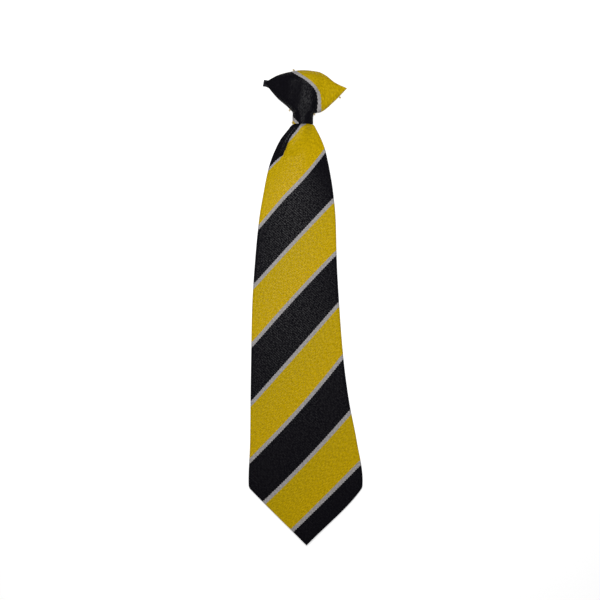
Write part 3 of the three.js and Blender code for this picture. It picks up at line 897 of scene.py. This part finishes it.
braid, tree, shader = new_material("black_elastic_braided_over_rubber")
uv = add(tree, "ShaderNodeUVMap", "across and along the band", dict(uv_map="cloth"))
split = new_node(tree, "ShaderNodeSeparateXYZ", "across and along", in_0=uv).outputs
core = math(tree, "MULTIPLY_ADD", "cores crossed", split[0],
            UV_MM * CORES / ELASTIC_WIDTH, float(CORES))
arm = math(tree, "PINGPONG", "from the core's middle", core, 0.5)
along = math(tree, "MULTIPLY", "chevrons passed", split[1], UV_MM / BRAID_MM)
lean = math(tree, "MULTIPLY_ADD", "leant", arm, 2 * CHEVRON, along)
yarn = math(tree, "PINGPONG", "one yarn's roundness", lean, 0.5)
lint = noise(tree, "lint", uv, scale=UV_MM / LINT_MM, detail=3.0)
height = math(tree, "MULTIPLY_ADD", "braid and lint", yarn, 2.0, lint)
# The braid is painted lighter on the crowns of its yarns and darker between them, a painted
# highlight and shade; the lint adds a random tone.
light = ranged(tree, "dark between the yarns", height, (0, 1.5), (0.4, 1.6))
fill(tree, shader, Base_Color=shaded(tree, linear(DYED["elastic"])[:3], light), Roughness=0.85,
     Specular_IOR_Level=0.2, Normal=relief(tree, height, strength=0.6, depth=0.15))


def thread_material(name, hex_colour):
    material, tree, shader = new_material(name)
    place = add(tree, "ShaderNodeTexCoord", "place", output="Object")
    twist = noise(tree, "twisted fibres", place, scale=1 / (TWIST_MM * MM), detail=2.0)
    light = ranged(tree, "light and dark fibres", twist, (0.3, 0.7), (0.7, 1.3))
    fill(tree, shader, Base_Color=shaded(tree, linear(hex_colour)[:3], light), Roughness=0.7,
         Specular_IOR_Level=0.25, Normal=relief(tree, twist, strength=0.5, depth=0.1))
    return material


black_thread = thread_material("black_spun_polyester_thread", DYED["thread"])
undyed_thread = thread_material("undyed_spun_polyester_thread", DYED["undyed"])

# %% [markdown]
# ## Stitches
#
# The folded edges meet down the middle of the blade's back and are caught together by slanting
# slip stitches, with a bar tack at each end where the strain is. The knot is closed up its back in
# the same way, and the elastic's ends are held by a few stitches across them. A stitch is one
# short arch of thread whose ends dive into the cloth, repeated along a line at an even pitch, which
# is what Geometry Nodes are for.

# %% Arches of thread along a line
STITCH_SEED = 4
WANDER = 0.12  # radians that a stitch may lean from its slant, either way


def new_tree(name, sizes):
    """A geometry tree with an input for each size, and those inputs."""
    tree = bpy.data.node_groups.new(name, "GeometryNodeTree")
    kinds = {size: "Int" if size in ("Strands", "Seed") else "Float" for size in sizes.split()}
    for label, kind in {"Geometry": "Geometry", **kinds, "Thread Material": "Material"}.items():
        tree.interface.new_socket(label, in_out="INPUT", socket_type="NodeSocket" + kind)
    tree.interface.new_socket("Geometry", in_out="OUTPUT", socket_type="NodeSocketGeometry")
    return tree, new_node(tree, "NodeGroupInput", "sizes").outputs


def scattered(tree, given, label, low, high):
    """A random number for each point of a tree."""
    return add(tree, "FunctionNodeRandomValue", label, dict(data_type="FLOAT"), output=1,
               in_2=low, in_3=high, Seed=given["Seed"])


def resized(tree, label, curve, operation, **size):
    """A curve whose points are each multiplied by a size."""
    place = add(tree, "GeometryNodeInputPosition", "its points")
    sized = add(tree, "ShaderNodeVectorMath", "sized", dict(operation=operation), in_0=place,
                **size)
    return add(tree, "GeometryNodeSetPosition", label, Geometry=curve, Position=sized)


def threads(tree, given, points, bend, turn, scale=(1, 1, 1)):
    """The end of both trees: a thread along the curve bend, on each point, made real."""
    radius = math(tree, "MULTIPLY", "half the thread", given["Thread"], 0.5)
    ring = add(tree, "GeometryNodeCurvePrimitiveCircle", "round thread", Resolution=7,
               Radius=radius)
    thread = add(tree, "GeometryNodeCurveToMesh", "thread", Curve=bend, Profile_Curve=ring,
                 Fill_Caps=True)
    placed = add(tree, "GeometryNodeInstanceOnPoints", "in place", Points=points, Instance=thread,
                 Rotation=turn, Scale=scale)
    real = add(tree, "GeometryNodeRealizeInstances", "real", Geometry=placed)
    smooth = add(tree, "GeometryNodeSetShadeSmooth", "smooth", Geometry=real)
    dressed = add(tree, "GeometryNodeSetMaterial", "spun thread", Geometry=smooth,
                  Material=given["Thread Material"])
    new_node(tree, "NodeGroupOutput", "threads", in_0=dressed)


stitching, given = new_tree("row_of_stitches", "Pitch Length Thread Arch Slant Seed")
line = add(stitching, "GeometryNodeMeshToCurve", "seam", Mesh=given["Geometry"])
line = add(stitching, "GeometryNodeResampleCurve", "one point a stitch", dict(mode="LENGTH"),
           Curve=line, Length=given["Pitch"])
arc = add(stitching, "GeometryNodeCurveQuadraticBezier", "arch of one stitch", Resolution=8,
          Start=(-0.5, 0, 1), Middle=(0, 0, -1), End=(0.5, 0, 1))
size = add(stitching, "ShaderNodeCombineXYZ", "its size", X=given["Length"], Y=1.0,
           Z=given["Arch"])
arc = resized(stitching, "arch", arc, "MULTIPLY", in_1=size)
tangent = add(stitching, "GeometryNodeInputTangent", "along the seam")
across_seam = add(stitching, "FunctionNodeAlignRotationToVector", "across the seam",
                  dict(axis="Y", pivot_axis="Z"), Vector=tangent)
wander = scattered(stitching, given, "hand's wander", -WANDER, WANDER)
angle = math(stitching, "ADD", "slant and wander", given["Slant"], wander)
slanted = add(stitching, "FunctionNodeAxisAngleToRotation", "slanted", Axis=(0, 0, 1), Angle=angle)
turn = add(stitching, "FunctionNodeRotateRotation", "turn", dict(rotation_space="LOCAL"),
           Rotation=across_seam, Rotate_By=slanted)
threads(stitching, given, line, arc, turn)


def grown(name, lines, tree, thread, attributes=None, **sizes):
    """Runs a tree over lines of points in mm, and returns what it makes as a plain mesh."""
    verts = np.concatenate(lines)
    edges, first = [], 0
    for points in lines:
        edges += [(first + i, first + i + 1) for i in range(len(points) - 1)]
        first += len(points)
    seed_mesh = bpy.data.meshes.new(name + "_line")
    seed_mesh.from_pydata((verts * MM).tolist(), edges, [])
    for key, values in (attributes or {}).items():
        seed_mesh.attributes.new(key, "FLOAT", "POINT").data.foreach_set("value", values)
    holder = in_scene(name + "_line", seed_mesh)
    modifier = holder.modifiers.new(tree.name, "NODES")
    modifier.node_group = tree
    wanted = {**sizes, "Thread Material": thread}
    for item in tree.interface.items_tree:
        if item.in_out == "INPUT" and item.name in wanted:
            modifier[item.identifier] = wanted[item.name]
    ready = holder.evaluated_get(bpy.context.evaluated_depsgraph_get())
    mesh = bpy.data.meshes.new_from_object(ready)
    mesh.name = name
    bpy.data.objects.remove(holder)
    print(f"{name}: {len(mesh.polygons)} faces")
    return in_scene(name, mesh)


# %% Where the stitches go
THREAD_MM = 0.4  # a strong sewing thread, a little thick so that it shows
ARCH_MM = 0.25
SUNK = dict(blade=0.08, knot=0.1, band=0.08)  # mm, how far a seam's threads lie in


def along_back(first_y, last_y):
    """A line down the seam behind the blade, just inside the hollow between its edges."""
    y = np.linspace(first_y, last_y, 40)
    left, right, lift = read(BLADE, "y", y, "left right lift")
    return np.stack([(left + right) / 2, y, lift + THREAD_MM / 2 + SUNK["blade"]], axis=1)


def straight(first, last, z):
    return np.array([(*first, z), (*last, z)])


rear_z = OVER_ELASTIC + THREAD_MM / 2 + SUNK["knot"]
band_z = THREAD_MM / 2 - SUNK["band"]
seam = dict(tree=stitching, thread=black_thread, Thread=THREAD_MM * MM, Arch=ARCH_MM * MM,
            Seed=STITCH_SEED)
tack = dict(seam, Length=4 * MM, Slant=0.0)
sewn = [
    grown("blade_seam_stitches", [along_back(122, -122)], Pitch=7 * MM, Length=3.2 * MM,
          Slant=0.6, **seam),
    grown("blade_bar_tacks", [along_back(129, 126), along_back(-125, -128)], Pitch=0.5 * MM,
          **tack),
    grown("knot_seam_stitches",
          [straight((REAR_SEAM["x"], 152.0), (REAR_SEAM["x"], 172.0), rear_z)],
          Pitch=3.5 * MM, Length=2.8 * MM, Slant=0.5, **seam),
    grown("elastic_tacks",
          [straight((-27.2, 164.3), (-24.6, 162.7), band_z),
           straight((19.2, 158.6), (22.3, 159.9), band_z)],
          Pitch=0.7 * MM, **tack),
]

# %% [markdown]
# ## Cut thread ends
#
# Where the knot was sewn up by hand, short ends of undyed thread stick out at the corners of its
# seams. Each tuft is a few fibres that fan out from one point, so it is a scatter with a seed.

# %% Tufts of cut thread
TUFTS = chart(
    "x y z heading",
    (-9.0, 173.9, 3.4, 1.4),
    (24.6, 155.4, 3.4, -1.0),
    (-12.0, 146.1, 4.0, -2.0),
    (6.1, 142.9, 4.4, -1.4),
    (-9.2, 136.3, 4.6, -2.8),
)
END_MM = 1.8
END_THICK_MM = 0.42
tufting, given = new_tree("tuft_of_ends", "Strands Length Thread Fan Seed")
roots = add(tufting, "GeometryNodeMeshToPoints", "roots", Mesh=given["Geometry"])
many = add(tufting, "GeometryNodeDuplicateElements", "several fibres", dict(domain="POINT"),
           Geometry=roots, Amount=given["Strands"])
hair = add(tufting, "GeometryNodeCurveQuadraticBezier", "one fibre", Resolution=5,
           Start=(-0.15, 0, 0), Middle=(0.6, 0.14, 0.25), End=(1, -0.1, 0.1))
hair = resized(tufting, "fibre", hair, "SCALE", Scale=given["Length"])
spread = scattered(tufting, given, "fan", -1.0, 1.0)
heading = add(tufting, "GeometryNodeInputNamedAttribute", "which way", dict(data_type="FLOAT"),
              Name="heading")
angle = math(tufting, "MULTIPLY_ADD", "fanned out", spread, given["Fan"], heading)
turn = add(tufting, "FunctionNodeAxisAngleToRotation", "turn", Axis=(0, 0, 1), Angle=angle)
longer = scattered(tufting, given, "some are longer", 0.6, 1.1)
threads(tufting, given, many, hair, turn, scale=longer)

roots = [np.array([[row[axis] for axis in "xyz"]]) for row in TUFTS]
sewn.append(grown("cut_thread_ends", roots, tufting, undyed_thread,
                  dict(heading=[row["heading"] for row in TUFTS]), Strands=12,
                  Length=END_MM * MM, Thread=END_THICK_MM * MM, Fan=0.8, Seed=STITCH_SEED))

# %% Dress the pieces
for piece, material, node, slot in (
        (blade, twill, "blade", "striped_cloth"),
        (knot, twill, "knot", "striped_cloth"),
        (elastic, braid, "neck_elastic", "black_elastic")):
    piece.data.materials.append(material)
    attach(piece, "root")
    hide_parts(node)
for piece in sewn:
    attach(piece, "root")

# %% [markdown]
# ## Light and table
#
# The tie was photographed on white under a broad soft light from above its upper half, so the
# light falls off towards the tip and throws next to no shadow.

# %% A white table and one broad soft lamp
HALF_TABLE = 1.2  # m
TABLE_DROP = 0.0002  # m, its gap under the tie
TABLE_GLOW = 0.66  # lit from beneath, as an opal table for product shots is
SOFTBOX = dict(shape="RECTANGLE", size=0.14, size_y=0.34, energy=4.5)  # m and W
SOFTBOX_PLACE = (-0.03, 0.14, 0.60)
ROOM_LIGHT = 0.13

table_mesh = bpy.data.meshes.new("table")
table_mesh.from_pydata(
    [(x * HALF_TABLE, y * HALF_TABLE, -TABLE_DROP)
     for x, y in ((-1, -1), (1, -1), (1, 1), (-1, 1))],
    [], [(0, 1, 2, 3)])
table = in_scene("table", table_mesh)
white, tree, shader = new_material("opal_acrylic_sheet")
fill(tree, shader, Base_Color=linear("#b4b4b4"), Emission_Color=linear("#ffffff"),
     Emission_Strength=TABLE_GLOW, Roughness=0.9)
table_mesh.materials.append(white)

softbox = bpy.data.lights.new("softbox", "AREA")
for name, value in SOFTBOX.items():
    setattr(softbox, name, value)
in_scene("softbox", softbox).location = SOFTBOX_PLACE

world = bpy.data.worlds.new("studio")
bpy.context.scene.world = world
world.use_nodes = True
fill(world.node_tree, world.node_tree.nodes["Background"], Color=(1, 1, 1, 1),
     Strength=ROOM_LIGHT)
